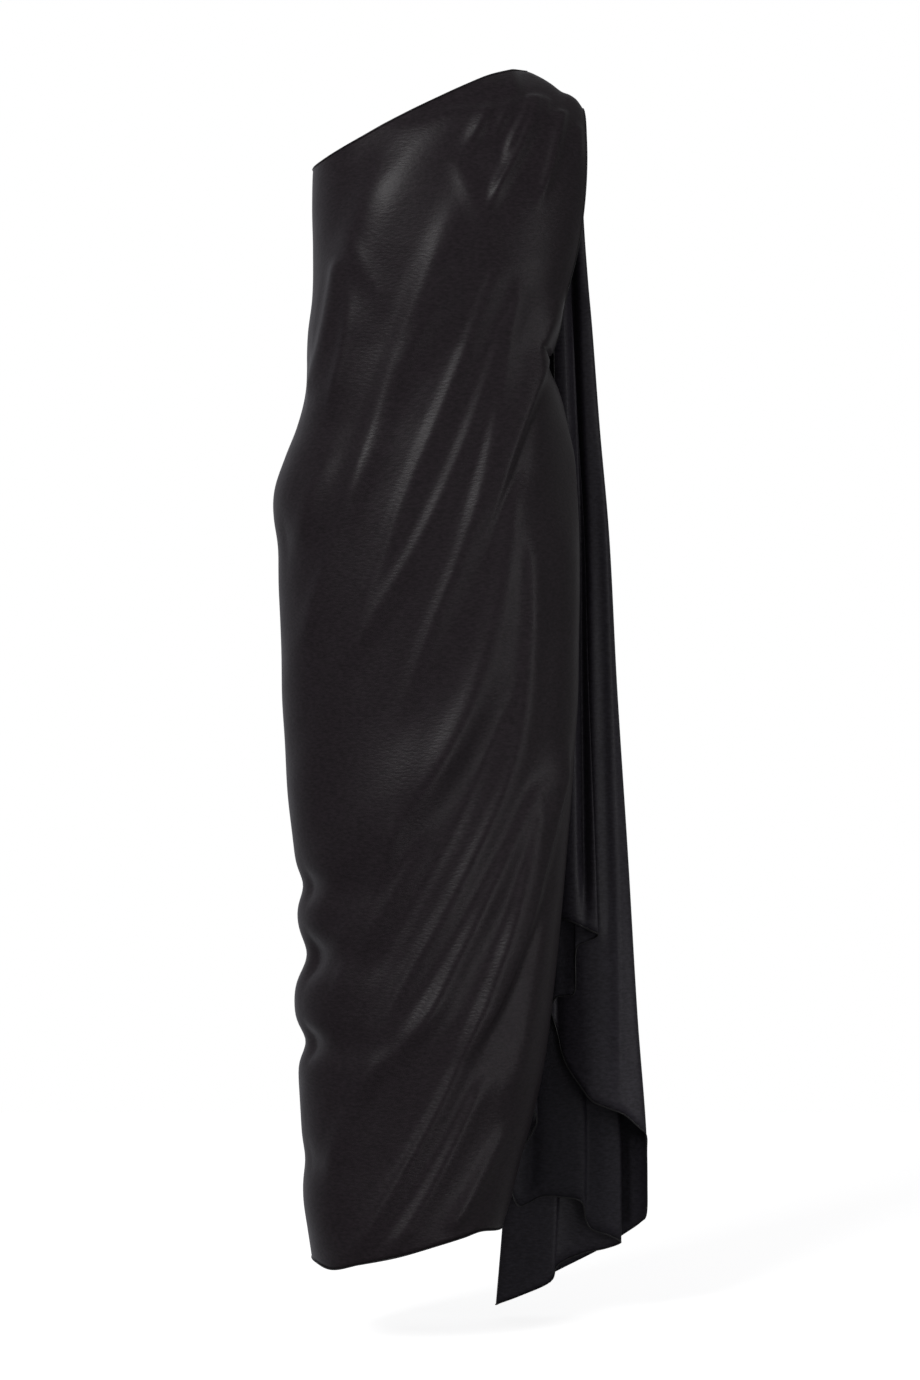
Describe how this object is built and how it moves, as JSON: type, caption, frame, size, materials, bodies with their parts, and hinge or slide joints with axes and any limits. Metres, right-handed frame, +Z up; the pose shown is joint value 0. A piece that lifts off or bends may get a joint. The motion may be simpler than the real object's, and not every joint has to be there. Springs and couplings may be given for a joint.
{
  "type": "one-shoulder dress",
  "caption": "Floor-length draped one-shoulder dress in black satin, kept in its worn shape, with a spiral side drape hung from the left shoulder to a pointed train.",
  "frame": {"origin": "on the left shoulder seam, where the wearer's shoulder holds the dress", "axes": "+Z up along the dress, -Y out of its front, +X towards the wearer's left side, where the drape hangs"},
  "size_m": [0.4438, 0.2966, 1.466],
  "materials": {
    "satin": "black satin with a soft sheen on its face and a dull wrong side"
  },
  "bodies": {
    "root": {"front": "satin", "back": "satin", "cascade": "satin"}
  },
  "joints": []
}
